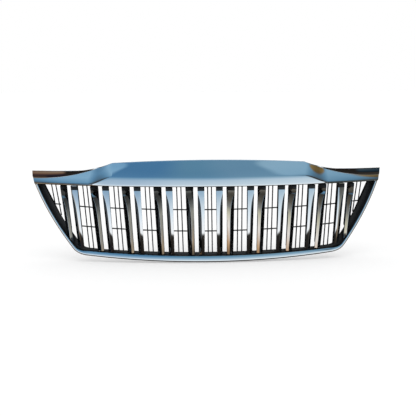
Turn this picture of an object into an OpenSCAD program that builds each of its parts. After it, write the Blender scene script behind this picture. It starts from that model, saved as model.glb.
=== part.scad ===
// Front grille: a bowed, raked chrome surround with ten split bars, black lattice bays and a black carrier.
// X runs along the width, -Y is the front, Z is up. The origin is the top of the centre tab's bore.

/* [Face] */
// Radius of the face's bow, seen from above
bow_r = 1500; // [900:10:4000]
// Lean of the face, backwards towards the top (degrees)
rake = 10; // [0:1:25]
// Half of the overall width, to the wing tip
half_w = 531; // [400:1:700]
// Share of its distance from the middle that a bar loses per mm of drop
fan_k = 0.00029; // [0:0.00001:0.0006]

/* [Upper moulding] */
// Height of the raised top edge at the middle
crown_z = 138; // [110:0.5:180]
// Half of the width of the raised part
crown_half = 289; // [150:1:400]
// Height of the opening's top edge at the middle
lip_z = 60.6; // [40:0.1:90]
// Height of the wing's top edge
wing_z = 106.2; // [90:0.1:130]
// Wall of the chrome mouldings
skin_t = 2.6; // [1.5:0.1:4]
// Slant of the wing's end, inwards towards its lower edge
end_cut = 7.5; // [0:0.5:12]

/* [Rim] */
// Lowest point of the rim at the middle
base_z = -157.5; // [-200:0.5:-100]
// Rise of the bottom edge at 332 mm from the middle
base_rise = 13.5; // [0:0.5:40]
// Width of the rim along the sides
rim_side_w = 8.7; // [6:0.1:16]
// Height of the rim at the middle of the bottom
rim_base_w = 19.6; // [10:0.1:30]

/* [Bars] */
// Bar pairs on each side
pairs = 5; // [3:1:7]
// Distance from the middle to the first slot
first_x = 43.3; // [30:0.1:70]
// Distance from slot to slot
pitch = 93.9; // [70:0.1:130]
// Width of the open slot in each bar
slot_w = 11.5; // [6:0.1:20]
// Width of the outer fin at the top
outer_w = 24; // [14:0.1:30]
// Width of the inner fin at the top
inner_w = 20.5; // [12:0.1:28]
// Width of the bright land at the foot of a fin
land_w = 8.5; // [4:0.1:14]
// Direction that an outer fin's land faces, from straight ahead towards the middle (degrees)
land_turn = 29; // [0:1:35]
// Wall of a fin
fin_t = 2.4; // [1.6:0.1:3.5]

/* [Carrier] */
// Width of the ring's side walls, from the silhouette
ring_side_w = 24; // [14:0.5:30]
// Front face of the ring, behind the face
ring_d = 24.3; // [20:0.1:30]
// Back face of the ring
ring_back = 36; // [32:0.1:50]
// Radius of the hole in each bushing
bore_r = 3.3; // [2.5:0.1:5]
// Radius of a locating pin
pin_r = 4; // [3:0.1:6]

/* [Retainers] */
// Radius of a retainer's centre pin
plunger_r = 2.4; // [1.5:0.1:4]
// Radial clearance of the centre pin
plunger_gap = 0.06; // [0.02:0.01:0.1]

/* [Hidden] */
$fn = 48;
tab_top = 84;
tab_d = 68;
org_y = tan(rake) * tab_top + tab_d;
org_z = tab_top;
chrome = [0.78, 0.84, 0.88];
black = [0.07, 0.07, 0.075];
dark = [0.12, 0.12, 0.12];
steel = [0.62, 0.63, 0.65];
tab_x = [-360, -180, 0, 180, 360];
rail_lo = 70;
screw_z = 75.5;
cap_top = 60.2;
fin_top = 49;

// ---- the face: every shape is placed by width x, height z and depth d behind the face
function bow_y(x) = bow_r - sqrt(bow_r * bow_r - x * x);
function face_y(x, z) = bow_y(x) + tan(rake) * z;
function pt(x, z, d) = [x, face_y(x, z) + d - org_y, z - org_z];
function ease(a, b, x) = let (t = min(1, max(0, (x - a) / (b - a)))) t * t * (3 - 2 * t);
function mix(a, b, t) = a + (b - a) * t;

// ---- outlines
function side_x(z) = let (u = 42 - z) 513 - 0.47 * u - 0.00105 * u * u;
function base_of(x) = base_z + base_rise * (x / 332) * (x / 332);
function crown_of(x) = crown_z - 9 * (x / crown_half) * (x / crown_half);
function top_of(x) = x <= crown_half ? crown_of(x)
  : x < 400 ? wing_z + (crown_z - 9 - wing_z) * pow(1 - (x - crown_half) / (400 - crown_half), 1.9)
  : wing_z - (x - 400) * 0.01;
function crease_raw(x) = 82 + 21.4 * pow(max(0, 526 - x) / 165, 2.28);
function crease_of(x) = min(crease_raw(x), top_of(x) - 2);
function bot_of(x) = lip_z + 3.4 * (x / 512) * (x / 512);
function fan(x, z) = x * (1 - fan_k * (50 - z));
function rim_share(x) = x < 350 ? 1 - 0.42 * (x / 350) * (x / 350) : 0.58 * (1 - ease(350, 420, x));
function rim_w(x) = mix(rim_side_w, rim_base_w, rim_share(x));

// the surround's silhouette on the right: down the side, round the corner, along the bottom to the middle
side_end = -121;
corner_x = 365;
c0 = [side_x(side_end), side_end];
c2 = [corner_x, base_of(corner_x)];
c1 = [394.2, -138.6];
function bez(t) = (1 - t) * (1 - t) * c0 + 2 * t * (1 - t) * c1 + t * t * c2;
function side_run(top, n) = [for (i = [0 : n - 1]) let (z = mix(top, side_end, i / n)) [side_x(z), z]];
corner_run = [for (i = [0 : 9]) bez(i / 10)];
base_run = [for (i = [0 : 13]) let (x = corner_x * (1 - i / 14)) [x, base_of(x)]];
function flip(run) = [for (i = [len(run) - 1 : -1 : 0]) [-run[i][0], run[i][1]]];
function outline(top, n) = let (half = concat(side_run(top, n), corner_run, base_run))
  concat(half, [[0, base_of(0)]], flip(half));
function tangent(run, i) = let (a = run[max(0, i - 1)], b = run[min(len(run) - 1, i + 1)], v = b - a) v / norm(v);
function inward(run, i) = let (t = tangent(run, i))
  i == 0 || i == len(run) - 1 ? [1 / t[1], 0] : [t[1], -t[0]];

// ---- lofts: a list of closed sections with the same even number of points
module loft(secs, closed = false) {
  n = len(secs);
  m = len(secs[0]);
  last = closed ? n - 1 : n - 2;
  walls = [for (i = [0 : last]) for (j = [0 : m - 1])
    let (a = i * m + j, b = i * m + (j + 1) % m, c = ((i + 1) % n) * m + j, d = ((i + 1) % n) * m + (j + 1) % m)
    each [[a, b, d], [a, d, c]]];
  q = floor(m / 2) - 2;
  front = closed ? [] : [for (j = [0 : q]) let (a = j, b = j + 1, c = m - 2 - j, d = m - 1 - j)
    each [[a, d, c], [a, c, b]]];
  o = (n - 1) * m;
  back = closed ? [] : [for (j = [0 : q]) let (a = o + j, b = o + j + 1, c = o + m - 2 - j, d = o + m - 1 - j)
    each [[a, c, d], [a, b, c]]];
  corners = [for (s = secs) for (p = s) p];
  faces = concat(walls, front, back);
  size = [for (f = faces) corners[f[0]] * cross(corners[f[1]], corners[f[2]])] * [for (f = faces) 1];
  polyhedron(corners, size > 0 ? [for (f = faces) [f[2], f[1], f[0]]] : faces);
}

// a flat piece with the corners given on the face, from depth d1 to depth d2
module plate(c, d1, d2) {
  loft([[for (p = c) pt(p[0], p[1], d1)], [for (p = c) pt(p[0], p[1], d2)]]);
}

module slab(x1, x2, z1, z2, d1, d2) {
  plate([[x1, z2], [x2, z2], [x2, z1], [x1, z1]], d1, d2);
}

// a straight strip between two points on the face
module strip(x1, z1, x2, z2, w, d1, d2) {
  flat = abs(x2 - x1) > abs(z2 - z1);
  ox = flat ? 0 : w / 2;
  oz = flat ? w / 2 : 0;
  plate([[x1 - ox, z1 - oz], [x1 + ox, z1 + oz], [x2 + ox, z2 + oz], [x2 - ox, z2 - oz]], d1, d2);
}

// a round bar along Y, from depth d1 to depth d2
module rod_y(x, z, r, d1, d2) {
  p = pt(x, z, d1);
  translate(p) rotate([-90, 0, 0]) cylinder(h = d2 - d1, r = r);
}

// ---- upper moulding
function lip_front(x) =
  let (b = bot_of(x), s = ease(crown_half, 361, x), z2 = b + mix(24, 4.5, s), d2 = mix(2.2, -0.6, s),
    z3 = crease_of(x), d3 = d2 + 0.57 * (z3 - z2), z4 = top_of(x), h = z4 - z3,
    d4 = d3 + 2 * max(0, 1 - h / 3) - 0.305 * max(0, h - 2))
  [[b + 0.4, 12.6], [b, 3.5], [b + 1.2, 0.9], [b + 3.2, 0], [mix(b + 3.2, z2, 0.6), mix(0, d2, 0.5)],
   [z2, d2], [mix(z2, z3, 0.15), mix(d2, d3, 0.12)], [mix(z2, z3, 0.55), mix(d2, d3, 0.55)], [z3, d3],
   [mix(z3, z4, 0.5), mix(d3, d4, 0.38)], [z4, d4], [z4 - 0.8, d4 + 3], [z4 - 2, d4 + 8]];
skin_z = [2.6, 2.6, 2.2, 1, 0, 0, 0, 0, -0.6, -1.4, -2.6, -2.9, -2.6];
skin_d = [0, 1.1, 2.6, 2.7, 2.6, 2.6, 2.6, 2.6, 2.6, 2.6, 2.2, 0.8, 0];
function lip_pt(x, z, d) = let (cut = end_cut * ease(500, half_w, abs(x)))
  pt(x - sign(x) * cut * min(1, max(0, (88 - z) / 24)), z, d);
function lip_section(x) =
  let (f = lip_front(abs(x)), k = len(f), t = skin_t / 2.6)
  concat([for (i = [0 : k - 1]) lip_pt(x, f[i][0], f[i][1])],
    [for (i = [k - 1 : -1 : 0]) lip_pt(x, f[i][0] + skin_z[i] * t, f[i][1] + skin_d[i] * t)]);
lip_half = concat([for (i = [0 : 9]) crown_half * i / 10], [crown_half],
  [for (i = [1 : 16]) crown_half + (400 - crown_half) * i / 16], [for (i = [1 : 8]) 400 + (half_w - 400) * i / 8]);
lip_xs = concat([for (i = [len(lip_half) - 1 : -1 : 1]) -lip_half[i]], lip_half);
window_x = concat([0], [for (k = [1 : pairs - 1]) fan(first_x + (k - 0.5) * pitch - 1.7, screw_z)], [472]);
screw_x = concat([for (i = [len(window_x) - 1 : -1 : 1]) -window_x[i]], window_x);
// how much deeper the face lies at the edge of a round end of radius r
function edge_drop(x, r) = r * (tan(rake) + 1.06 * abs(x) / bow_r);
function lip_d(x, z) = let (f = lip_front(abs(x))) lookup(z, [for (i = [3 : 8]) f[i]]);
boss_r = 4.6;
function boss_d(x) = lip_d(x, screw_z + boss_r) + edge_drop(x, boss_r) + 0.3;

module upper_moulding() {
  color(chrome) difference() {
    union() {
      loft([for (x = lip_xs) lip_section(x)]);
      for (x = screw_x) rod_y(x, screw_z, boss_r, boss_d(x), 13.8 - edge_drop(x, boss_r));
    }
    for (x = screw_x) rod_y(x, screw_z, 2, min(10, boss_d(x) + 3), 15);
  }
}

// ---- lower rim: a U of constant make, narrow at the sides and tall at the bottom
rim_side = [[0, 23.6], [0, 5], [0.9, 2.2], [2.6, 1], [5.6, 1.2], [8, 3.2], [8.7, 6.5], [8.7, 23.6]];
rim_base = [[0, 23.6], [0, 7], [1.4, 4], [4, 3], [10, 3.7], [15.5, 5.4], [18.8, 8.6], [19.6, 23.6]];
rim_side_in = [[2.2, 23.6], [2.2, 6], [2.9, 4.6], [3.8, 3.6], [5, 3.6], [6, 4.8], [6.5, 7], [6.5, 23.6]];
rim_base_in = [[2.4, 23.6], [2.4, 8], [3.2, 6.6], [4.8, 5.6], [9.8, 6.3], [14.4, 7.8], [16.4, 10.2], [17.2, 23.6]];
rim_run = outline(63.2, 14);
function rim_pts(run, i, a, b) = let (p = run[i], n = inward(run, i), s = rim_share(abs(p[0])))
  [for (j = [0 : len(a) - 1]) let (q = mix(a[j], b[j], s)) pt(p[0] + n[0] * q[0], p[1] + n[1] * q[0], q[1])];
function turned(v) = [for (i = [len(v) - 1 : -1 : 0]) v[i]];
foot_x = [for (x = screw_x) if (abs(x) < 400) fan(x, -90)];

module lower_rim() {
  color(chrome) difference() {
    union() {
      loft([for (i = [0 : len(rim_run) - 1])
        concat(rim_pts(rim_run, i, rim_side, rim_base), turned(rim_pts(rim_run, i, rim_side_in, rim_base_in)))]);
      for (x = foot_x) rod_y(x, foot_z(x), 3.6, 5.3 + edge_drop(x, 1.6), 24.1 - edge_drop(x, 3.6));
    }
    for (x = foot_x) rod_y(x, foot_z(x), 1.6, 9.5, 25);
  }
}
function foot_z(x) = base_of(x) + rim_w(abs(x)) * 0.5;

// ---- carrier: a closed black ring with tabs
function ring_w(x) = x < 350 ? 24.6 - 6.8 * (x / 350) * (x / 350) : mix(17.8, ring_side_w, ease(350, 425, x));
ring_lower = outline(67.5, 14);
function ring_low(i) = let (p = ring_lower[i], n = inward(ring_lower, i), w = ring_w(abs(p[0])))
  [p + n * 2.6, p + n * 10, p + n * w, ring_d];
function ring_up(x) = [[x, tab_top], [x, 80], [x * 0.985, rail_lo], mix(14, ring_d, ease(484, 508, abs(x)))];
rail_xs = [for (i = [-24 : 24]) 508 * i / 24];
ring = concat([for (x = rail_xs) ring_up(x)], [for (i = [0 : len(ring_lower) - 1]) ring_low(i)]);
function ring_section(r) = let (f = r[3])
  [pt(r[0][0], r[0][1], f), pt(r[1][0], r[1][1], f), pt(r[2][0], r[2][1], f),
   pt(r[2][0], r[2][1], ring_back), pt(r[1][0], r[1][1], ring_back), pt(r[0][0], r[0][1], ring_back)];

module tab(x) {
  p = pt(x, tab_top, 0);
  translate([p[0], p[1], 0]) rotate([0, 0, asin(x / bow_r)]) {
    translate([-19, 29, -4]) cube([38, tab_d - 29, 4]);
    translate([0, tab_d, -4]) cylinder(h = 4, r = 19);
    for (s = [-1, 1]) translate([s * 17.6 - 1.25, 31, -1]) cube([2.5, tab_d - 34, 5]);
  }
}

module tab_hole(x, r) {
  p = pt(x, tab_top, 0);
  translate([p[0], p[1], -6]) rotate([0, 0, asin(x / bow_r)]) translate([0, tab_d, 0]) cylinder(h = 8, r = r);
}

module carrier_frame() {
  color(black) difference() {
    union() {
      loft([for (r = ring) ring_section(r)], true);
      for (x = tab_x) tab(x);
      for (s = [-1, 1]) rod_y(s * pin_x, base_of(pin_x) + 12, pin_r, 30, 54);
      for (s = [-1, 1]) rod_y(s * pin_x, base_of(pin_x) + 12, pin_r + 3, 30, 38);
    }
    for (x = tab_x) tab_hole(x, abs(x) == 180 ? 5.2 : 5.05);
    for (x = screw_x) rod_y(x, screw_z, 2.3, 10, 40);
    for (x = foot_x) rod_y(x, foot_z(x), 1.9, 20, 40);
    for (s = [-1, 1]) for (k = [1 : pairs]) {
      p = bar_screw(s, k);
      translate([p[0], p[1], -20]) cylinder(h = 24, r = 2.3);
    }
    for (s = [-1, 1]) for (k = [1 : pairs]) for (f = [0, 1]) if (has_lug(k, f)) lug(s, k, f, 0.4);
  }
}
pin_x = fan(first_x + 2 * pitch, -140);

// ---- bars
function slot_x(k, z) = fan(first_x + (k - 1) * pitch, z);
function fin_w(f, z) = f == 0 ? inner_w - 3 * (50 - z) / 180 : outer_w - 3.5 * (50 - z) / 180;
function fin_a(k, f, z) = f == 0 ? slot_x(k, z) - slot_w / 2 - fin_w(0, z) : slot_x(k, z) + slot_w / 2;
function fin_b(k, f, z) = fin_a(k, f, z) + fin_w(f, z) * (k == pairs && f == 1 ? 0.84 : 1);
function land(k, f, z) = let (w = fin_w(f, z)) z > 42 ? w : land_w + (w - land_w) * exp(-(42 - z) / 28);
function front_d(f, z) = 2 + (z > -17 ? 0.00124 : f == 0 ? 0.0009 : 0.0006) * (z + 17) * (z + 17);
function edge_x(z) = side_x(max(z, side_end)) - 15;
function silhouette_z(x) = x < corner_x ? base_of(x) : mix(base_of(corner_x), -128, ease(corner_x, 404, x));
function back_d(x, z) = (z - silhouette_z(x) < 32 || (side_x(z) - x) * 0.84 < 33) ? ring_d - 0.7 : 35;
function fin_foot(k, f) = k == pairs && f == 1 ? -103
  : let (x = fin_b(k, f, -130)) silhouette_z(min(x, 404)) + rim_w(x) + (k == pairs ? 2.2 : 0.8);
// how far the land of an outer fin falls back to its slot
function land_fall(x, w, z, room) =
  max(0, min(19, w * (tan(land_turn) + tan(asin(x / bow_r))), room - 4.5)) * (1 - 0.45 * ease(49, 64, z));
function fin_section(s, k, f, z) =
  let (a = fin_a(k, f, z), b = min(fin_b(k, f, z), max(edge_x(z), a + 2)), c = min(a + land(k, f, z), b - 0.2),
    d0 = front_d(f, z), da = back_d(a, z), db = back_d(b, z), fd = min(13, 1.1 * (b - c)), dd = min(d0 + fd, db - 2.4),
    turn = f == 1 ? land_fall(a, c - a, z, da - d0) : 0, taper = min(2, (b - a) * 0.1),
    t = min(fin_t, (b - a) * 0.24), q = min(t, (db - dd) * 0.6))
  [pt(s * (a + taper), z, da), pt(s * a, z, d0 + 1 + turn), pt(s * (a + 1), z, d0 + turn), pt(s * c, z, d0),
   pt(s * b, z, dd), pt(s * b, z, dd + 0.6), pt(s * (b - taper), z, db),
   pt(s * (b - taper - t), z, db), pt(s * (b - t), z, dd + 0.6 + q * 0.7), pt(s * (b - t), z, dd + q * 0.6),
   pt(s * min(c - 0.3 * t, b - 1.2 * t), z, d0 + t + 0.2), pt(s * (a + 1.1 * t + 0.6), z, d0 + turn + t),
   pt(s * (a + t), z, d0 + 1 + turn + t * 0.8), pt(s * (a + taper + t), z, da)];
fin_steps = 13;
function fin_zs(k, f) = let (e = fin_foot(k, f))
  concat([for (i = [0 : fin_steps]) mix(fin_top, e + 14, i / fin_steps)], [e + 10, e + 5, e]);
function lug_z(k) = base_of(slot_x(k, -130)) + rim_w(slot_x(k, -130)) + 2.6;
function has_lug(k, f) = k < pairs;

module fin(s, k, f) {
  secs = [for (z = fin_zs(k, f)) fin_section(s, k, f, z)];
  loft(secs);
}

module tongue(s, k, f, inset, z1, z2, d1, d2) {
  a = s * (fin_a(k, f, 55) + inset);
  b = s * (fin_b(k, f, 55) - inset);
  slab(min(a, b), max(a, b), z1, z2, d1, d2);
}

module lug(s, k, f, gap) {
  z = lug_z(k);
  x = s * (fin_a(k, f, z) + fin_w(f, z) / 2);
  slab(x - 3 - gap, x + 3 + gap, z - 2 - gap, z + 2 + gap, ring_d - 2.2, 38.6);
}

// the wall inside a fin that carries its lug
module web(s, k, f) {
  z = lug_z(k);
  a = s * (fin_a(k, f, z) + 1.6);
  b = s * (fin_b(k, f, z) - 2.6);
  slab(min(a, b), max(a, b), z - 1.7, z + 1.7, 19, 23);
}

function bar_screw(s, k) = pt(s * slot_x(k, 66), screw_z, 22);

module bar(s, k) {
  color(chrome) difference() {
    union() {
      for (f = [0, 1]) fin(s, k, f);
      for (f = [0, 1]) tongue(s, k, f, 2.9, 42, fin_top - 0.4, f == 0 ? 9.6 : 26, 31.6);
      for (f = [0, 1]) tongue(s, k, f, 3.2, fin_top - 1, 63, f == 0 ? 13.5 : 27.1, 31.3);
      a = s * (fin_a(k, 0, 55) + 3.4);
      b = s * (fin_b(k, 1, 55) - 3.4);
      slab(min(a, b), max(a, b), 62, rail_lo - 0.4, 13.5, 31.5);
      for (f = [0, 1]) if (has_lug(k, f)) lug(s, k, f, 0);
      for (f = [0, 1]) if (has_lug(k, f)) web(s, k, f);
    }
    p = bar_screw(s, k);
    translate([p[0], p[1], 60 - org_z]) cylinder(h = 11, r = 1.95);
  }
}

// black sleeves on the tops of the fins
function cap_section(s, k, f, z) = let (q = fin_section(s, k, f, z))
  [for (i = [0 : 6]) q[i], (q[0] + q[6]) / 2 - [0, 1.2, 0]];

module bar_cap(s, k, f) {
  difference() {
    loft([for (z = [cap_top, fin_top + 0.3]) cap_section(s, k, f, z)]);
    tongue(s, k, f, 2.9, fin_top - 2, 64, f == 0 ? 13.2 : 26.8, 31.6);
  }
}

module bar_caps() {
  color(dark) for (s = [-1, 1]) for (k = [1 : pairs]) for (f = [0, 1]) bar_cap(s, k, f);
}

// ---- lattice bays
wire = 3.4;
function row_z(x, base, lift) = base + lift * (x / 373) * (x / 373);

module lattice(x1t, x1b, x2t, x2b, zt, zb) {
  m = 4;
  xa = min(x1t, x2t);
  xb = max(x1t, x2t);
  ya = x1t < x2t ? x1b : x2b;
  yb = x1t < x2t ? x2b : x1b;
  mid = (xa + xb) / 2;
  slab(xa - m - 2, xb + m + 2, 64, 79.6, 36.1, 39.9);
  plate([[ya - m - 2, zb(ya)], [yb + m + 2, zb(yb)], [yb + m + 2, base_of(yb) + 5], [ya - m - 2, base_of(ya) + 5]], 36.1, 39.9);
  for (t = [0, 1]) {
    o = t == 0 ? -m : m;
    strip(mix(xa, xb, t) + o, 66, mix(ya, yb, t) + o, base_of(mix(ya, yb, t)) + 8, m, 36.4, 39.6);
  }
  for (t = [1 / 3, 2 / 3]) strip(mix(xa, xb, t), 66, mix(ya, yb, t), base_of(mix(ya, yb, t)) + 8, wire, 36.6, 39.4);
  for (z = [row_z(mid, -9.3, 6), row_z(mid, -72, 10.5)]) {
    u = (50 - z) / 190;
    tilt = 0.018 * mid / 300 * 60;
    strip(mix(xa, ya, u) - m, z - tilt, mix(xb, yb, u) + m, z + tilt, wire, 37, 39);
  }
}
function zb(x) = base_of(x) + ring_w(abs(x)) - 1;

module bay(s, k) {
  color(black) difference() {
    lattice(s * fin_b(k, 1, 50), s * fin_b(k, 1, -140), s * fin_a(k + 1, 0, 50), s * fin_a(k + 1, 0, -140));
    rod_y(s * window_x[k], screw_z, 2.3, 30, 42);
    rod_y(fan(s * window_x[k], -90), foot_z(fan(window_x[k], -90)), 1.9, 30, 42);
  }
}

module centre_lattice() {
  color(black) difference() {
    lattice(-fin_a(1, 0, 50), -fin_a(1, 0, -140), fin_a(1, 0, 50), fin_a(1, 0, -140));
    rod_y(0, screw_z, 2.3, 30, 42);
    rod_y(0, foot_z(0), 1.9, 30, 42);
  }
}

module end_lattice(s) {
  zl = -40;
  a = fin_b(pairs, 1, 66) + 4;
  color(black) difference() {
    union() {
      slab(min(s * (a - 8), s * 500), max(s * (a - 8), s * 500), 64, 79.6, 36.1, 39.9);
      strip(s * (a - 4), 66, s * (fin_b(pairs, 1, zl) - 2), zl, 4, 36.4, 39.6);
      strip(s * 499.5, 66, s * (fin_b(pairs, 1, zl) + 9), zl - 4, 5, 36.5, 39.5);
      strip(s * 463, 66, s * 445, -30, wire, 36.6, 39.4);
      strip(s * 476, 66, s * 462.7, -6, wire, 36.6, 39.4);
      strip(s * (a - 5), 2.3, s * 472, 3.5, wire, 37, 39);
    }
    rod_y(s * 472, screw_z, 2.3, 30, 42);
  }
}

// ---- fasteners
module screw_y(x, z, r, d1, d2, head) {
  rod_y(x, z, r, d1, d2 + 0.5);
  rod_y(x, z, head, d2, d2 + 0.9);
  p = pt(x, z, d2 + 0.5);
  translate(p) rotate([-90, 0, 0]) difference() {
    cylinder(h = 3, r = head * 0.72, $fn = 6);
    translate([0, 0, 1.6]) cylinder(h = 2, r = head * 0.36);
  }
}

module moulding_screws() {
  color(steel) for (x = screw_x) screw_y(x, screw_z, 1.9, 10.5, 40.1 + edge_drop(x, 4.1), 4.1);
}

module rim_screws() {
  color(steel) for (x = foot_x) screw_y(x, foot_z(x), 1.5, 13, 40.1 + edge_drop(x, 3.4), 3.4);
}

module bar_screws() {
  color(steel) for (s = [-1, 1]) for (k = [1 : pairs]) {
    p = bar_screw(s, k);
    translate([p[0], p[1], 63 - org_z]) cylinder(h = tab_top - 62.5, r = 1.85);
    translate([p[0], p[1], 0.1]) cylinder(h = 0.9, r = 4);
    translate([p[0], p[1], 0.5]) difference() {
      cylinder(h = 2.8, r = 2.9, $fn = 6);
      translate([0, 0, 1.5]) cylinder(h = 2, r = 1.4);
    }
  }
}

module tab_bushings() {
  color(steel) for (x = [-360, 0, 360]) {
    p = pt(x, tab_top, 0);
    translate([p[0], p[1], 0]) rotate([0, 0, asin(x / bow_r)]) translate([0, tab_d, 0]) difference() {
      union() {
        translate([0, 0, -5]) cylinder(h = 5.01, r = 5);
        cylinder(h = 1, r = 7.5);
      }
      translate([0, 0, -6]) cylinder(h = 9, r = bore_r);
    }
  }
}

seal_xs = [for (i = [-20 : 20]) 270 * i / 20];

module hood_seal() {
  color([0.1, 0.1, 0.1]) loft([for (x = seal_xs)
    [pt(x, tab_top + 10, 20), pt(x, tab_top + 10, 27), pt(x, tab_top + 0.3, 30), pt(x, tab_top + 0.3, 27.5)]]);
}

module at_tab(x) {
  p = pt(x, tab_top, 0);
  translate([p[0], p[1], 0]) rotate([0, 0, asin(x / bow_r)]) translate([0, tab_d, 0]) children();
}

module retainer_sleeve(x) {
  color(dark) at_tab(x) difference() {
    union() {
      translate([0, 0, 0.05]) cylinder(h = 2, r = 9);
      translate([0, 0, -4.2]) cylinder(h = 4.4, r = 5);
      translate([0, 0, -17]) cylinder(h = 3.2, r1 = 3.2, r2 = 4.1);
      translate([0, 0, -14]) cylinder(h = 10, r = 4.1);
    }
    translate([0, 0, -19]) cylinder(h = 23, r = plunger_r + plunger_gap);
    translate([0, 0, 1.2]) cylinder(h = 2, r = 5.4);
    for (q = [0, 90]) rotate([0, 0, q]) translate([-6, -0.6, -21]) cube([12, 1.2, 4]);
  }
}

module retainer_pin(x) {
  color(dark) at_tab(x) {
    translate([0, 0, -15.5]) cylinder(h = 17.5, r = plunger_r);
    translate([0, 0, 1.55]) cylinder(h = 1.9, r = 5);
  }
}

upper_moulding();
lower_rim();
carrier_frame();
bar(-1, 1);  // left_bar_1
bar(-1, 2);  // left_bar_2
bar(-1, 3);  // left_bar_3
bar(-1, 4);  // left_bar_4
bar(-1, 5);  // left_bar_5
mirror([1, 0, 0]) bar(-1, 1);  // right_bar_1
mirror([1, 0, 0]) bar(-1, 2);  // right_bar_2
mirror([1, 0, 0]) bar(-1, 3);  // right_bar_3
mirror([1, 0, 0]) bar(-1, 4);  // right_bar_4
mirror([1, 0, 0]) bar(-1, 5);  // right_bar_5
centre_lattice();
bay(-1, 1);  // left_lattice_1
bay(-1, 2);  // left_lattice_2
bay(-1, 3);  // left_lattice_3
bay(-1, 4);  // left_lattice_4
end_lattice(-1);  // left_end_lattice
mirror([1, 0, 0]) bay(-1, 1);  // right_lattice_1
mirror([1, 0, 0]) bay(-1, 2);  // right_lattice_2
mirror([1, 0, 0]) bay(-1, 3);  // right_lattice_3
mirror([1, 0, 0]) bay(-1, 4);  // right_lattice_4
mirror([1, 0, 0]) end_lattice(-1);  // right_end_lattice
bar_caps();
bar_screws();
moulding_screws();
rim_screws();
tab_bushings();
hood_seal();
retainer_sleeve(-180);  // left_retainer_sleeve
retainer_pin(-180);  // left_retainer_pin
retainer_sleeve(180);  // right_retainer_sleeve
retainer_pin(180);  // right_retainer_pin
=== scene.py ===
import math

import bmesh
import bpy
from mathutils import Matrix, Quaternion, Vector


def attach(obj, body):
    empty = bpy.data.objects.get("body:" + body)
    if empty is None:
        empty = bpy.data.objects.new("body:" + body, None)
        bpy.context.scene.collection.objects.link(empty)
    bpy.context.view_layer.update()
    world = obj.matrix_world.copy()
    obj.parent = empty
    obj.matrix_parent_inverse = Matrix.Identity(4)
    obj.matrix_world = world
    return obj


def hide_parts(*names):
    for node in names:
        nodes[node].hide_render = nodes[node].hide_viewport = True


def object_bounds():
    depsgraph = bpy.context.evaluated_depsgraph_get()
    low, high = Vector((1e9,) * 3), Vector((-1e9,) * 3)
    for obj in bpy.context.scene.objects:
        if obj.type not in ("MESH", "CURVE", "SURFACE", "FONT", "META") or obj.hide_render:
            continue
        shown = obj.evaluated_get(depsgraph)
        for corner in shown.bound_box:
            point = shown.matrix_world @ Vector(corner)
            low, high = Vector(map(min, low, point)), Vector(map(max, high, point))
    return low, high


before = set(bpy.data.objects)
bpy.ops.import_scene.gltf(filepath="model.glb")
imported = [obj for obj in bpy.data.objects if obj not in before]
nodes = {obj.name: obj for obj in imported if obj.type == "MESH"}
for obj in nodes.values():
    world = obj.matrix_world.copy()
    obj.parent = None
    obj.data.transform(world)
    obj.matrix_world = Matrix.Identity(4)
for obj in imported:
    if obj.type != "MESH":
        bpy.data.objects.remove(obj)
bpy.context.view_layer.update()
homeBody = "grille"

# the face that everything is laid out on, in millimetres
face = {
    "bowRadius": 1500.0,    # bow of the face, seen from above
    "lean": 10.0,           # degrees backwards
    "tabTop": 84.0,         # the origin is on the centre tab
    "tabDepth": 68.0,
    "fan": 0.00029,         # bars draw together downwards
}
originY = math.tan(math.radians(face["lean"])) * face["tabTop"] + face["tabDepth"]


def bowY(x):
    return face["bowRadius"] - math.sqrt(face["bowRadius"] ** 2 - x * x)


def onFace(x, z, depth):
    y = bowY(x) + math.tan(math.radians(face["lean"])) * z + depth - originY
    return Vector((x, y, z - face["tabTop"])) / 1000


def mix(a, b, t):
    return a + (b - a) * t


def ease(a, b, x):
    t = min(1, max(0, (x - a) / (b - a)))
    return t * t * (3 - 2 * t)


def fanned(x, z):
    return x * (1 - face["fan"] * (50 - z))


# colours and nodes

def hexColor(text):
    out = []
    for i in (0, 2, 4):
        c = int(text[i:i + 2], 16) / 255
        out.append(c / 12.92 if c <= 0.04045 else ((c + 0.055) / 1.055) ** 2.4)
    return (*out, 1.0)


def addNode(tree, kind, settings=None, links=None):
    node = tree.nodes.new(kind)
    for key, value in (settings or {}).items():
        if isinstance(key, str) and hasattr(node, key):
            setattr(node, key, value)
        else:
            node.inputs[key].default_value = value
    for key, source in (links or {}).items():
        tree.links.new(source, node.inputs[key])
    return node


def newMaterial(name):
    material = bpy.data.materials.new(name)
    material.use_nodes = True
    material.node_tree.nodes.clear()
    return material, material.node_tree


def finishMaterial(tree, shader):
    addNode(tree, "ShaderNodeOutputMaterial", links={"Surface": shader.outputs[0]})


def rampOf(tree, factor, stops):
    ramp = addNode(tree, "ShaderNodeValToRGB", links={"Fac": factor})
    spots = ramp.color_ramp.elements
    while len(spots) > 1:
        spots.remove(spots[-1])
    for i, (place, color) in enumerate(stops):
        spot = spots[0] if i == 0 else spots.new(place)
        spot.position = place
        spot.color = hexColor(color) if isinstance(color, str) else color
    return ramp


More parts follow.
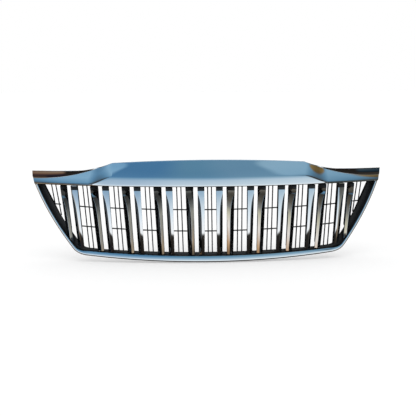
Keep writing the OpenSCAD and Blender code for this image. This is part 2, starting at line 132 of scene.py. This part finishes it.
def platedChrome():
    # bright chrome plate on moulded ABS: mirror-sharp, with 11 mm blooms of polish haze
    # and a waviness 70 mm long that the moulding leaves under the plate
    material, tree = newMaterial("platedChromeOnAbs")
    place = addNode(tree, "ShaderNodeTexCoord")
    haze = addNode(tree, "ShaderNodeTexNoise", {"Scale": 90.0, "Detail": 4.0},
                   {"Vector": place.outputs["Object"]})
    rough = addNode(tree, "ShaderNodeMapRange", {"To Min": 0.02, "To Max": 0.05},
                    {"Value": haze.outputs["Fac"]})
    wave = addNode(tree, "ShaderNodeTexNoise", {"Scale": 14.0, "Detail": 1.0},
                   {"Vector": place.outputs["Object"]})
    peel = addNode(tree, "ShaderNodeBump", {"Strength": 0.03, "Distance": 0.0004},
                   {"Height": wave.outputs["Fac"]})
    shader = addNode(tree, "ShaderNodeBsdfPrincipled",
                     {"Base Color": hexColor("EEF2F5"), "Metallic": 1.0},
                     {"Roughness": rough.outputs[0], "Normal": peel.outputs[0]})
    finishMaterial(tree, shader)
    return material


def grainedPlastic(name, color, grainMm, roughness):
    # moulded plastic with a spark-eroded grain 0.05 mm deep: dull, with a soft sheen on its edges
    material, tree = newMaterial(name)
    place = addNode(tree, "ShaderNodeTexCoord")
    grain = addNode(tree, "ShaderNodeTexVoronoi", {"Scale": 1000.0 / grainMm},
                    {"Vector": place.outputs["Object"]})
    cloud = addNode(tree, "ShaderNodeTexNoise", {"Scale": 30.0, "Detail": 3.0},
                    {"Vector": place.outputs["Object"]})
    base = hexColor(color)
    lighter = tuple(min(1, c * 1.5 + 0.002) for c in base[:3]) + (1,)
    tone = rampOf(tree, cloud.outputs["Fac"], [(0.3, base), (0.75, lighter)])
    rough = addNode(tree, "ShaderNodeMapRange",
                    {"To Min": roughness - 0.06, "To Max": roughness + 0.08},
                    {"Value": cloud.outputs["Fac"]})
    bump = addNode(tree, "ShaderNodeBump", {"Strength": 0.25, "Distance": 0.00005},
                   {"Height": grain.outputs["Distance"]})
    shader = addNode(tree, "ShaderNodeBsdfPrincipled", {"IOR": 1.5},
                     {"Base Color": tone.outputs[0], "Roughness": rough.outputs[0],
                      "Normal": bump.outputs[0]})
    finishMaterial(tree, shader)
    return material


def zincSteel(name, color):
    # zinc-plated steel: pale grey with cloudy crystals of 1.4 mm and a passivated tint
    material, tree = newMaterial(name)
    place = addNode(tree, "ShaderNodeTexCoord")
    cloud = addNode(tree, "ShaderNodeTexNoise", {"Scale": 700.0, "Detail": 3.0},
                    {"Vector": place.outputs["Object"]})
    base = hexColor(color)
    darker = tuple(c * 0.7 for c in base[:3]) + (1,)
    tone = rampOf(tree, cloud.outputs["Fac"], [(0.35, darker), (0.65, base)])
    rough = addNode(tree, "ShaderNodeMapRange", {"To Min": 0.28, "To Max": 0.45},
                    {"Value": cloud.outputs["Fac"]})
    shader = addNode(tree, "ShaderNodeBsdfPrincipled", {"Metallic": 1.0},
                     {"Base Color": tone.outputs[0], "Roughness": rough.outputs[0]})
    finishMaterial(tree, shader)
    return material


def foamRubber():
    # foamed EPDM strip: matt, with open pores 1.1 mm across
    material, tree = newMaterial("foamedEpdm")
    place = addNode(tree, "ShaderNodeTexCoord")
    pores = addNode(tree, "ShaderNodeTexVoronoi", {"Scale": 900.0},
                    {"Vector": place.outputs["Object"]})
    tone = rampOf(tree, pores.outputs["Distance"], [(0.0, "0B0B0C"), (0.6, "1C1C1E")])
    bump = addNode(tree, "ShaderNodeBump", {"Strength": 0.6, "Distance": 0.0004},
                   {"Height": pores.outputs["Distance"]})
    shader = addNode(tree, "ShaderNodeBsdfPrincipled", {"Roughness": 0.9, "IOR": 1.45},
                     {"Base Color": tone.outputs[0], "Normal": bump.outputs[0]})
    finishMaterial(tree, shader)
    return material


chrome = platedChrome()
carrierBlack = grainedPlastic("mouldedAbsBlack", "17181A", 0.9, 0.42)
latticeBlack = grainedPlastic("mouldedLatticeBlack", "101012", 0.7, 0.38)
# black caps on the fins' tops: partly a moulded cap, partly a dark piece put where the hood's lip
# shades the fins, so they are partly painted shade
capBlackAndLipShade = grainedPlastic("mouldedCapBlackAndLipShade", "141517", 0.6, 0.35)
nylonBlack = grainedPlastic("mouldedNylonBlack", "1A1A1C", 0.5, 0.5)
screwZinc = zincSteel("zincPlatedScrew", "B9BCC0")
bushingZinc = zincSteel("zincPlatedBushing", "C2B98E")
sealFoam = foamRubber()
print("materials made")


# mesh tools

def cutCorners(points, rounds, closed=True):
    for _ in range(rounds):
        out = []
        count = len(points)
        last = count if closed else count - 1
        if not closed:
            out.append(points[0])
        for i in range(last):
            a, b = points[i], points[(i + 1) % count]
            out.append(tuple(mix(p, q, 0.25) for p, q in zip(a, b)))
            out.append(tuple(mix(p, q, 0.75) for p, q in zip(a, b)))
        if not closed:
            out.append(points[-1])
        points = out
    return points


def chromeLoft(name, sections, sharp):
    # a shell through loops of points: the first half of each loop is its front, the rest its back
    count, around = len(sections), len(sections[0])
    points = [p for s in sections for p in s]
    faces = []
    for i in range(count - 1):
        for j in range(around):
            near, far = i * around, (i + 1) * around
            following = (j + 1) % around
            faces.append((near + j, near + following, far + following, far + j))
    for start in (0, (count - 1) * around):
        for j in range(around // 2 - 1):
            end = start + around - 1 - j
            faces.append((start + j, start + j + 1, end - 1, end))
    mesh = bpy.data.meshes.new(name)
    mesh.from_pydata(points, [], faces)
    mesh.update()
    piece = bpy.data.objects.new(name, mesh)
    bpy.context.scene.collection.objects.link(piece)
    tidyNormals(piece)
    mesh.materials.append(chrome)
    mesh.shade_smooth()
    mesh.set_sharp_from_angle(angle=math.radians(sharp))
    even = piece.modifiers.new("evenNormals", "WEIGHTED_NORMAL")
    even.keep_sharp = True
    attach(piece, homeBody)
    return piece


def tidyNormals(piece):
    work = bmesh.new()
    work.from_mesh(piece.data)
    bmesh.ops.recalc_face_normals(work, faces=work.faces)
    work.to_mesh(piece.data)
    work.free()


# upper moulding

hood = {
    "crownZ": 138.0,      # top edge at the middle
    "crownHalf": 289.0,   # half of the raised part
    "lipZ": 60.6,         # lower edge at the middle
    "wingZ": 106.2,       # top edge of the wings
    "wingStart": 400.0,   # where the fall from the raised part ends
    "halfWidth": 531.0,
    "endCut": 7.5,        # slant of a wing's end
}


def crownOf(x):
    return hood["crownZ"] - 9 * (x / hood["crownHalf"]) ** 2


def topOf(x):
    if x <= hood["crownHalf"]:
        return crownOf(x)
    if x < hood["wingStart"]:
        drop = crownOf(hood["crownHalf"]) - hood["wingZ"]
        left = (hood["wingStart"] - x) / (hood["wingStart"] - hood["crownHalf"])
        return hood["wingZ"] + drop * left ** 1.9
    return hood["wingZ"] - (x - hood["wingStart"]) * 0.01


def creaseOf(x):
    # the wings' crease, which sweeps up into the raised part's top edge
    return min(82 + 21.4 * (max(0, 526 - x) / 165) ** 2.28, topOf(x) - 2)


def bottomOf(x):
    return hood["lipZ"] + 3.4 * (x / 512) ** 2


def hoodProfile(x):
    # the front from the lip's foot upwards, as height and depth: lip, upper face, top strip, flange
    b, s = bottomOf(x), ease(hood["crownHalf"], 361, x)
    z2, d2 = b + mix(25.4, 4.5, s), mix(2.3, -0.6, s)
    z3 = creaseOf(x)
    d3 = d2 + 0.57 * (z3 - z2)
    z4 = topOf(x)
    h = z4 - z3
    d4 = d3 + 2 * max(0, 1 - h / 3) - 0.305 * max(0, h - 2)
    lip = [(b + 0.6, 12.6), (b + 0.2, 3.5), (b + 1.2, 0.9), (b + 3.2, 0.1),
           (mix(b + 3.2, z2, 0.6), mix(0.1, d2, 0.5)), (z2, d2)]
    upperSteps = ((0.15, 0.12), (0.55, 0.51), (0.95, 0.95))    # shares of the rise and of the depth
    stripSteps = ((0.1, 0.08), (0.5, 0.39), (0.9, 0.89))
    upper = [(mix(z2, z3, t), mix(d2, d3, u)) for t, u in upperSteps]
    strip = [(mix(z3, z4, t), mix(d3, d4, u)) for t, u in stripSteps]
    flange = [(z4 - 0.1, d4 + 0.2), (z4 - 0.8, d4 + 3), (z4 - 2.2, d4 + 7.8)]
    return lip + upper + [(z3, d3 + 0.1)] + strip + flange


def hoodSection(x):
    front = hoodProfile(abs(x))
    # from each front point to the back one behind it: a wall of 2.6 mm that thins at both edges
    inZ = [2.2, 2.4, 2.2, 1, 0, 0, 0, 0, -0.4, -0.6, -1, -1.2, -1.8, -2.4, -2.8, -2.4]
    inD = [0, 1.1, 2.6, 2.7, 2.6, 2.6, 2.6, 2.6, 2.6, 2.5, 2.6, 2.6, 2.6, 2, 0.8, 0]
    back = [(z + a, d + b) for (z, d), a, b in zip(front, inZ, inD)]
    cut = hood["endCut"] * ease(500, hood["halfWidth"], abs(x))
    section = []
    for z, d in cutCorners(front + back[::-1], 2):
        slant = cut * min(1, max(0, (88 - z) / 24))
        section.append(onFace(x - math.copysign(slant, x), z, d))
    return section


def spread(a, b, step):
    count = max(1, round((b - a) / step))
    return [mix(a, b, i / count) for i in range(count)]


def buildHood():
    # stations from the middle outwards, close together at the raised part's corner
    half = spread(0, 285, 4) + [285, 287.5, 288.7, 289.3, 290.5, 293]
    half += spread(296, hood["wingStart"], 2.5) + spread(hood["wingStart"], 529, 4)
    half += [529, hood["halfWidth"] - 0.3]
    xs = [-x for x in reversed(half[1:])] + half
    piece = chromeLoft("hoodMoulding", [hoodSection(x) for x in xs], sharp=40)
    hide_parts("upper_moulding")
    return piece


# lower rim

rim = {
    "baseZ": -157.5,      # lowest point
    "baseRise": 13.5,     # rise at 332 mm from the middle
    "sideWidth": 8.7,
    "baseWidth": 19.6,
    "cornerX": 365.0,     # where the bottom turns up
    "sideEnd": -121.0,
}


def sideX(z):
    # the sides' outer edge, which curves in downwards
    u = 42 - z
    return 513 - 0.47 * u - 0.00105 * u * u


def baseOf(x):
    return rim["baseZ"] + rim["baseRise"] * (x / 332) ** 2


def rimShare(x):
    # how much of the wide bottom profile there is, against the narrow side profile
    return 1 - 0.42 * (x / 350) ** 2 if x < 350 else 0.58 * (1 - ease(350, 420, x))


def rimWidth(x):
    return mix(rim["sideWidth"], rim["baseWidth"], rimShare(x))


def outline(top, steps):
    # down one side, round the corner, along the bottom and up again
    start, end = (sideX(rim["sideEnd"]), rim["sideEnd"]), (rim["cornerX"], baseOf(rim["cornerX"]))
    pull = (394.2, -138.6)    # where the side and the bottom would meet
    run = []
    for i in range(steps[0]):
        z = mix(top, rim["sideEnd"], i / steps[0])
        run.append((sideX(z), z))
    for i in range(steps[1]):
        t = i / steps[1]
        early, middle, late = (1 - t) ** 2, 2 * t * (1 - t), t * t
        run.append(tuple(early * a + middle * b + late * c for a, b, c in zip(start, pull, end)))
    for i in range(steps[2] + 1):
        x = rim["cornerX"] * (1 - i / steps[2])
        run.append((x, baseOf(x)))
    return run + [(-x, z) for x, z in reversed(run[:-1])]


def inwardOf(run, i):
    # square to the outline, and level at its two top ends
    a, b = run[max(0, i - 1)], run[min(len(run) - 1, i + 1)]
    length = math.hypot(b[0] - a[0], b[1] - a[1])
    if i in (0, len(run) - 1):
        return length / (b[1] - a[1]), 0
    return (b[1] - a[1]) / length, -(b[0] - a[0]) / length


# profiles of the rim, as width from its outer edge and depth: fronts, then the hollow backs
rimSide = [(0.1, 23.4), (0.1, 5), (0.9, 2.4), (2.6, 1.2),
           (5.6, 1.4), (7.8, 3.2), (8.5, 6.5), (8.5, 23.4)]
rimBase = [(0.1, 23.4), (0.1, 7), (1.4, 4.2), (4, 3.2),
           (10, 3.9), (15.5, 5.6), (18.6, 8.8), (19.4, 23.4)]
rimSideIn = [(2.1, 23.4), (2.2, 6), (2.9, 4.8), (3.8, 3.8),
             (5, 3.8), (5.9, 4.9), (6.4, 7), (6.4, 23.4)]
rimBaseIn = [(2.3, 23.4), (2.4, 8), (3.2, 6.8), (4.8, 5.8),
             (9.8, 6.4), (14.4, 7.9), (16.4, 10.4), (17.1, 23.4)]


def mixLoops(first, second, share):
    return [tuple(mix(p, q, share) for p, q in zip(a, b)) for a, b in zip(first, second)]


def buildRim():
    run = outline(63.2, (60, 30, 80))
    sections = []
    for i, (x, z) in enumerate(run):
        nx, nz = inwardOf(run, i)
        share = rimShare(abs(x))
        loop = mixLoops(rimSide, rimBase, share) + mixLoops(rimSideIn, rimBaseIn, share)[::-1]
        sections.append([onFace(x + nx * w, z + nz * w, d) for w, d in cutCorners(loop, 2)])
    piece = chromeLoft("lowerRim", sections, sharp=50)
    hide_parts("lower_rim")
    return piece


# bars

bars = {
    "pairs": 5,
    "firstX": 43.3,
    "pitch": 93.9,
    "slot": 11.5,
    "outerWidth": 24.0,
    "innerWidth": 20.5,
    "lastShare": 0.84,    # the last outer fin is narrower
    "landWidth": 8.5,     # bright land at the foot
    "topZ": 49.0,
    "proudZ": -17.0,      # where a fin stands furthest forward
    "bendAbove": 0.00124,
    "bendBelow": (0.0009, 0.0006),    # inner and outer fin
    "outerFacing": 29.0,  # degrees from straight ahead that an outer land looks towards the middle
    "wall": 2.4,
}


def slotX(k, z):
    return fanned(bars["firstX"] + (k - 1) * bars["pitch"], z)


def finWidth(f, z):
    # f is 0 for a bar's inner fin, the one nearer the middle, and 1 for its outer fin
    down = (50 - z) / 180
    return bars["innerWidth"] - 3 * down if f == 0 else bars["outerWidth"] - 3.5 * down


def widthShare(k, f):
    return bars["lastShare"] if (k, f) == (bars["pairs"], 1) else 1


def finNear(k, f, z):
    if f == 0:
        return slotX(k, z) - bars["slot"] / 2 - finWidth(0, z)
    return slotX(k, z) + bars["slot"] / 2


def landOf(f, z):
    # the bright land fills the fin at the top and narrows quickly below 42 mm
    w = finWidth(f, z)
    if z > 42:
        return w
    return bars["landWidth"] + (w - bars["landWidth"]) * math.exp(-(42 - z) / 28)


def frontDepth(f, z):
    bend = bars["bendAbove"] if z > bars["proudZ"] else bars["bendBelow"][f]
    return 2 + bend * (z - bars["proudZ"]) ** 2


def silhouetteZ(x):
    # the rim's lowest edge, and the corner's chord beyond the bottom's end
    if x < rim["cornerX"]:
        return baseOf(x)
    return mix(baseOf(rim["cornerX"]), -128, ease(rim["cornerX"], 404, x))


def backDepth(x, z):
    # a fin is shallower where the carrier's ring passes behind it
    overRing = z - silhouetteZ(x) < 32 or (sideX(z) - x) * 0.84 < 33
    return 23.4 if overRing else 34.8


def finFoot(k, f):
    if k == bars["pairs"] and f == 1:
        return -103    # ends on the carrier's slanting side
    x = finNear(k, f, -130) + finWidth(f, -130)
    return silhouetteZ(min(x, 404)) + rimWidth(x) + (2.2 if k == bars["pairs"] else 0.9)


def landFall(x, w, z, room):
    # how far an outer land falls back across its width, to look towards the middle
    slope = math.tan(math.radians(bars["outerFacing"])) + math.tan(math.asin(x / face["bowRadius"]))
    return max(0, min(19, w * slope, room - 4.5)) * (1 - 0.45 * ease(49, 64, z))


def finSection(side, k, f, z):
    a = finNear(k, f, z)
    width = finWidth(f, z) * widthShare(k, f)
    b = min(a + width, max(sideX(max(z, rim["sideEnd"])) - 15, a + 2))
    c = min(a + landOf(f, z), b - 0.2)
    d0 = frontDepth(f, z)
    near, far = backDepth(a, z), backDepth(b, z)
    deep = min(d0 + min(13, 1.1 * (b - c)), far - 2.4)
    taper = min(2, (b - a) * 0.1)
    fall = landFall(a, c - a, z, near - d0) if f == 1 else 0
    wall = min(bars["wall"], (b - a) * 0.24)
    step = min(wall, (far - deep) * 0.6)
    ridge = min(c - 0.3 * wall, b - 1.2 * wall)
    front = [(a + taper + 0.1, near), (a + 0.1, d0 + 1.6 + fall),
             (a + 0.8, d0 + 0.15 + fall * 0.97), (c - 0.5, d0 + 0.1 + fall * 0.05),
             (c + min(0.4, (b - c) * 0.4), d0 + 0.35), (b - 0.2, deep + 0.1),
             (b - 0.15, deep + 0.8), (b - taper - 0.1, far)]
    back = [(b - taper - wall, far), (b - wall, deep + 0.8 + step * 0.7),
            (b - wall - 0.1, deep + 0.2 + step * 0.6), (ridge, d0 + wall + 0.3),
            (ridge - 0.4, d0 + wall + 0.3 + fall * 0.05),
            (a + 1.1 * wall + 0.6, d0 + fall + wall + 0.1),
            (a + wall, d0 + 1.2 + fall + wall * 0.8), (a + taper + wall, near)]
    return [onFace(side * x, z, d) for x, d in softened(front) + softened(back)]


def softened(line):
    return cutCorners(line, 1, closed=False)


def buildFin(side, k, f):
    foot = finFoot(k, f)
    steps = 40
    zs = [mix(bars["topZ"], foot + 14, i / steps) for i in range(steps + 1)]
    zs += [foot + 10, foot + 5, foot]
    return [finSection(side, k, f, z) for z in zs]


def barBlocks(side, k):
    # the tongues under the caps, the bridge that takes the bar's screw, and the lugs at the foot,
    # each as its two widths, two heights and two depths
    spans = []
    for f in (0, 1):
        a = finNear(k, f, 55)
        b = a + finWidth(f, 55) * widthShare(k, f)
        spans.append((a + 3.3, b - 3.3, 48.2, 62.8, 13.6 if f == 0 else 27.2, 31.2))
        spans.append((a + 3, b - 3, 42.2, 48.5, 9.8 if f == 0 else 26.1, 31.4))
    spans.append((finNear(k, 0, 55) + 3.5, b - 3.5, 62.1, 69.5, 13.6, 31.4))
    if k < bars["pairs"]:
        foot = slotX(k, -130)
        z = baseOf(foot) + rimWidth(foot) + 2.6
        for f in (0, 1):
            x = finNear(k, f, z) + finWidth(f, z) / 2
            spans.append((x - 2.9, x + 2.9, z - 1.9, z + 1.9, 22.2, 38.5))
            spans.append((x - 6.5, x + 6, z - 1.6, z + 1.6, 19.2, 22.9))
    return [(side * x1, side * x2, *rest) for x1, x2, *rest in spans]


def chromeBlocks(name, spans, bevel):
    points, faces = [], []
    for x1, x2, z1, z2, d1, d2 in spans:
        n = len(points)
        corners = ((x1, z1), (x2, z1), (x2, z2), (x1, z2))
        points += [onFace(x, z, d) for d in (d1, d2) for x, z in corners]
        faces += [(n, n + 1, n + 2, n + 3), (n + 7, n + 6, n + 5, n + 4)]
        faces += [(n + i, n + 4 + i, n + 4 + (i + 1) % 4, n + (i + 1) % 4) for i in range(4)]
    mesh = bpy.data.meshes.new(name)
    mesh.from_pydata(points, [], faces)
    mesh.update()
    piece = bpy.data.objects.new(name, mesh)
    bpy.context.scene.collection.objects.link(piece)
    tidyNormals(piece)
    mesh.materials.append(chrome)
    softenEdges(piece, bevel)
    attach(piece, homeBody)
    return piece


def softenEdges(piece, width):
    edge = piece.modifiers.new("softEdges", "BEVEL")
    edge.width = width / 1000
    edge.segments = 2
    edge.limit_method = "ANGLE"
    edge.angle_limit = math.radians(40)
    edge.harden_normals = True


def buildBars():
    for side, word in ((-1, "left"), (1, "right")):
        for k in range(1, bars["pairs"] + 1):
            bridge = chromeBlocks(f"{word}Bar{k}Bridge", barBlocks(side, k), 0.4)
            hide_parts(f"{word}_bar_{k}")
            inner = chromeLoft(f"{word}Bar{k}Inner", buildFin(side, k, 0), sharp=30)
            outer = chromeLoft(f"{word}Bar{k}Outer", buildFin(side, k, 1), sharp=30)
            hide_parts(f"{word}_bar_{k}")
            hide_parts(f"{word}_bar_{k}")


buildHood()
buildRim()
buildBars()
print("chrome built")


# carried-over CAD nodes

def dress(nodeName, material, bevel=0.0):
    node = nodes[nodeName]
    node.data.materials.clear()
    node.data.materials.append(material)
    if bevel:
        softenEdges(node, bevel)


for nodeName in nodes:
    if nodeName == "carrier_frame":
        dress(nodeName, carrierBlack)
    elif "lattice" in nodeName:
        dress(nodeName, latticeBlack, 0.5)
    # the black caps darken the fins' tops under the lip as painted shade, besides being moulded
    # caps
    elif nodeName == "bar_caps":
        dress(nodeName, capBlackAndLipShade, 0.5)
    elif nodeName.endswith("screws"):
        dress(nodeName, screwZinc)
    elif nodeName == "tab_bushings":
        dress(nodeName, bushingZinc)
    elif nodeName == "hood_seal":
        dress(nodeName, sealFoam)
    elif "retainer" in nodeName:
        dress(nodeName, nylonBlack)
print("CAD nodes dressed")


# stage

def buildFloor():
    reach = 30.0                        # metres each way
    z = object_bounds()[0].z - 0.002        # just under the grille
    corners = [(-reach, -reach, z), (reach, -reach, z), (reach, reach, z), (-reach, reach, z)]
    mesh = bpy.data.meshes.new("floor")
    mesh.from_pydata(corners, [], [(0, 1, 2, 3)])
    floor = bpy.data.objects.new("floor", mesh)
    bpy.context.scene.collection.objects.link(floor)
    material, tree = newMaterial("paleFloor")
    shader = addNode(tree, "ShaderNodeBsdfPrincipled",
                     {"Base Color": hexColor("C4C4C4"), "Roughness": 0.9,
                      "Emission Color": (1, 1, 1, 1), "Emission Strength": 0.42})
    finishMaterial(tree, shader)
    mesh.materials.append(material)
    floor.visible_glossy = False


surroundings = {
    # elevation of the reflected ray in degrees, and what the chrome sees there
    "frontLeft": [(-90, "1E1C1A"), (-14, "231F1C"), (-4, "2C2926"), (-2.4, "3A3733"),
                  (-0.8, "FFFFFF"), (5, "F6FAFF"), (12, "DCEAF5"), (20, "B4C8DA"), (28, "93B0C8"),
                  (38, "7CA2BE"), (52, "5A88AC"), (66, "4A79A0"), (90, "4C7DA4")],
    "front": [(-90, "1E1C1A"), (-14, "231F1C"), (-4, "2C2926"), (-2.4, "3A3733"),
              (-0.8, "FFFFFF"), (5, "FBFDFF"), (12, "E6F1F9"), (20, "CEDCE6"), (28, "A4BED2"),
              (38, "85A8C0"), (52, "648FAC"), (66, "5A86A2"), (90, "6390A8")],
    "frontRight": [(-90, "1E1C1A"), (-14, "231F1C"), (-4, "2C2926"), (-2.4, "3A3733"),
                   (-0.8, "FFFFFF"), (5, "FBFDFF"), (12, "E8F2F8"), (20, "D0DEE7"),
                   (28, "B0C8D8"), (38, "96B4C8"), (52, "7298B0"), (66, "668DA7"),
                   (90, "6C94AC")],
    "wingLeft": [(-90, "1E1C1A"), (-40, "2A2320"), (-34, "4A3D36"), (-27, "A08E74"),
                 (-19, "6D5143"), (-12, "241E26"), (-4, "2C2926"), (-2.4, "3A3733"),
                 (-0.8, "FFFFFF"), (5, "F6FAFF"), (12, "DCEAF5"), (20, "B4C8DA"), (28, "93B0C8"),
                 (38, "7CA2BE"), (52, "5A88AC"), (66, "4A79A0"), (90, "4C7DA4")],
    "left": [(-90, "181210"), (-40, "2A2320"), (-34, "4A3D36"), (-27, "A08E74"), (-19, "6D5143"),
             (-12, "241E26"), (-8, "5A4632"), (-3, "C8A078"), (4, "F2E8DF"), (12, "CDC7AF"),
             (20, "83827D"), (30, "5A554C"), (49, "38352F"), (55, "5F8BAB"), (61, "88B0CC"),
             (66, "7CA8C8"), (76, "5E90B8"), (90, "86A8B4")],
    "right": [(-90, "101214"), (-40, "181C16"), (-34, "1D251A"), (-27, "5D6363"), (-19, "223440"),
              (-12, "19191C"), (-8, "4A4238"), (-3, "A8937A"), (4, "949087"), (12, "96948A"),
              (20, "6A6B67"), (30, "444442"), (44, "363634"), (51, "5F86A0"), (58, "84AAC2"),
              (66, "8CAFC5"), (76, "86A8B8"), (90, "A0BCC8")],
    "sideLeft": [(-90, "0E0E10"), (-10, "151517"), (10, "1A1A1C"), (34, "202225"), (46, "4A7090"),
                 (72, "50748E"), (90, "6390A8")],
    "sideRight": [(-90, "0E0E10"), (-10, "151517"), (10, "1A1A1C"), (38, "202225"),
                  (47, "33291E"), (53, "8A7348"), (58, "3C3022"), (66, "50748E"), (90, "6390A8")],
}


# where each of them begins, in degrees to the right of straight ahead
borders = {
    "front": (-22, -2),
    "frontRight": (2, 22),
    "right": (37, 43),
    "wingLeft": (-28, -23),
    "left": (-41.5, -38),
    "sideRight": (73, 78),
    "sideLeft": (-82, -68),
}


def buildWorld():
    world = bpy.data.worlds.new("studio")
    bpy.context.scene.world = world
    world.use_nodes = True
    tree = world.node_tree
    tree.nodes.clear()
    place = addNode(tree, "ShaderNodeTexCoord")
    parts = addNode(tree, "ShaderNodeSeparateXYZ", links={"Vector": place.outputs["Generated"]})
    height = addNode(tree, "ShaderNodeMath", {"operation": "ARCSINE"}, {0: parts.outputs["Z"]})
    share = addNode(tree, "ShaderNodeMath", {"operation": "MULTIPLY_ADD", 1: 1 / math.pi, 2: 0.5},
                    {0: height.outputs[0]})
    front = addNode(tree, "ShaderNodeMath", {"operation": "MULTIPLY", 1: -1.0},
                    {0: parts.outputs["Y"]})
    turn = addNode(tree, "ShaderNodeMath", {"operation": "ARCTAN2"},
                   {0: parts.outputs["X"], 1: front.outputs[0]})
    looks = {}
    for name, stops in surroundings.items():
        looks[name] = rampOf(tree, share.outputs[0], [((e + 90) / 180, c) for e, c in stops])

    def blendBy(base, over, name):
        low, high = (math.radians(angle) for angle in borders[name])
        amount = addNode(tree, "ShaderNodeMapRange",
                         {"interpolation_type": "SMOOTHSTEP", "From Min": low, "From Max": high},
                         {"Value": turn.outputs[0]})
        node = addNode(tree, "ShaderNodeMix", {"data_type": "RGBA"})
        tree.links.new(amount.outputs[0], node.inputs[0])
        tree.links.new(base, node.inputs[6])
        tree.links.new(over, node.inputs[7])
        return node.outputs[2]

    color = looks["frontLeft"].outputs[0]
    for name in ("front", "frontRight", "right", "sideRight"):
        color = blendBy(color, looks[name].outputs[0], name)
    for name in ("wingLeft", "left", "sideLeft"):
        color = blendBy(looks[name].outputs[0], color, name)
    # the grille stands in white, and is lit a little brighter than that
    ray = addNode(tree, "ShaderNodeLightPath")
    seen = addNode(tree, "ShaderNodeBackground", {"Color": (1, 1, 1, 1), "Strength": 1.0})
    soft = addNode(tree, "ShaderNodeBackground", {"Color": (1, 1, 1, 1), "Strength": 1.15})
    # what is mirrored twice is dimmed, so that the chrome sides between the bars stay near black
    once = addNode(tree, "ShaderNodeMath", {"operation": "LESS_THAN", 1: 2.5},
                   {0: ray.outputs["Ray Depth"]})
    light = addNode(tree, "ShaderNodeMapRange", {"To Min": 0.08, "To Max": 1.0},
                    {"Value": once.outputs[0]})
    mirrored = addNode(tree, "ShaderNodeBackground",
                       links={"Color": color, "Strength": light.outputs[0]})
    lit = addNode(tree, "ShaderNodeMixShader",
                  links={0: ray.outputs["Is Glossy Ray"], 1: soft.outputs[0],
                         2: mirrored.outputs[0]})
    shown = addNode(tree, "ShaderNodeMixShader",
                    links={0: ray.outputs["Is Camera Ray"], 1: lit.outputs[0], 2: seen.outputs[0]})
    addNode(tree, "ShaderNodeOutputWorld", links={"Surface": shown.outputs[0]})


view = {
    "azimuth": -3.653,
    "elevation": 8.0,
    "distance": 2800.0,
    "aim": (-5.16, 40.0, -5.08),   # millimetres on the face's own axes
    "focalShare": 2.25512,         # focal length over frame width
    "roll": 0.154,
}


def buildCamera():
    data = bpy.data.cameras.new("camera")
    camera = bpy.data.objects.new("camera", data)
    bpy.context.scene.collection.objects.link(camera)
    a, e = math.radians(view["azimuth"]), math.radians(view["elevation"])
    back = Vector((math.sin(a) * math.cos(e), -math.cos(a) * math.cos(e), math.sin(e)))
    aim = Vector((view["aim"][0], view["aim"][1] - originY, view["aim"][2] - face["tabTop"])) / 1000
    camera.location = aim + back * view["distance"] / 1000
    camera.rotation_mode = "QUATERNION"
    camera.rotation_quaternion = (-back).to_track_quat("-Z", "Y")
    camera.rotation_quaternion.rotate(Quaternion(back, math.radians(-view["roll"])))
    data.sensor_width = 36
    data.lens = 36 * view["focalShare"]
    data.clip_end = 200
    bpy.context.scene.camera = camera


buildFloor()
buildWorld()
buildCamera()
bpy.context.scene.view_settings.view_transform = "Standard"
print("stage ready")
